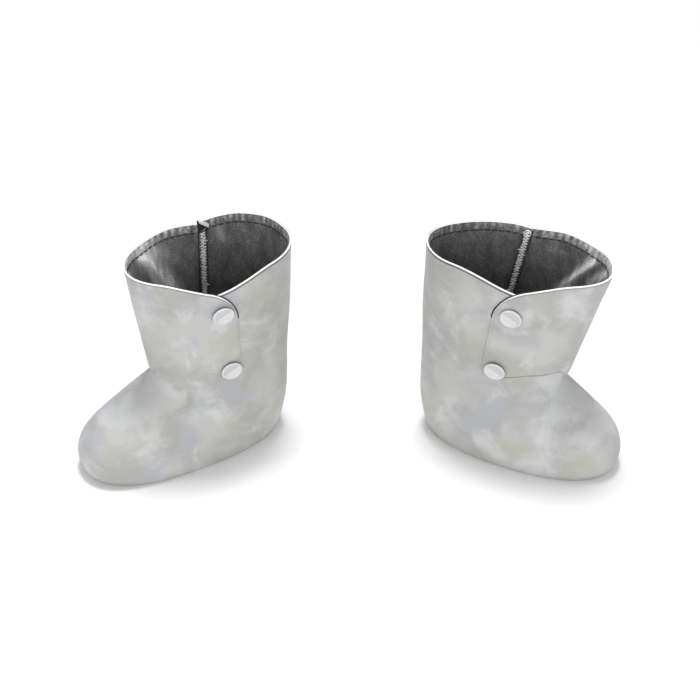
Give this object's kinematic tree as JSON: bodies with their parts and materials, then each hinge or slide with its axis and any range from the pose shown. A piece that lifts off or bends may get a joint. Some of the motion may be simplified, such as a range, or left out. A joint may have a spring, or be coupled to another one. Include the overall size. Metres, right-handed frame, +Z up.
{
  "type": "pair of boot covers",
  "caption": "Pair of soft lined boot covers for small brace boots: each has a closed foot, an open flared shaft and a wrap-over front flap fastened with snaps.",
  "frame": {"origin": "the middle of the pair's bounding box, on the surface that the soles stand on", "axes": "+Z up, +X across the pair towards the cover that stands on the right as seen from the front, -Y towards the front"},
  "size_m": [0.3803, 0.1107, 0.1571],
  "materials": {
    "outer_cloth": "smooth printed cloth with a soft pale grey marbling, satin",
    "sole_cloth": "the same smooth pale grey cloth, doubled, matt",
    "lining_cloth": "brushed dark grey fleece, matt",
    "overlock_thread": "overlocked edge in grey thread, matt",
    "snap_cap": "moulded snap cap, gloss"
  },
  "bodies": {
    "root": {"left_body": "outer_cloth", "left_flap": "outer_cloth", "left_sole": "sole_cloth", "left_body_lining": "lining_cloth", "left_flap_lining": "lining_cloth", "left_insole": "lining_cloth", "left_seam_allowance": "overlock_thread", "left_snap_upper": "snap_cap", "left_snap_lower": "snap_cap", "left_stud_upper": "snap_cap", "left_stud_lower": "snap_cap", "right_body": "outer_cloth", "right_flap": "outer_cloth", "right_sole": "sole_cloth", "right_body_lining": "lining_cloth", "right_flap_lining": "lining_cloth", "right_insole": "lining_cloth", "right_seam_allowance": "overlock_thread", "right_snap_upper": "snap_cap", "right_snap_lower": "snap_cap", "right_stud_upper": "snap_cap", "right_stud_lower": "snap_cap"}
  },
  "joints": []
}
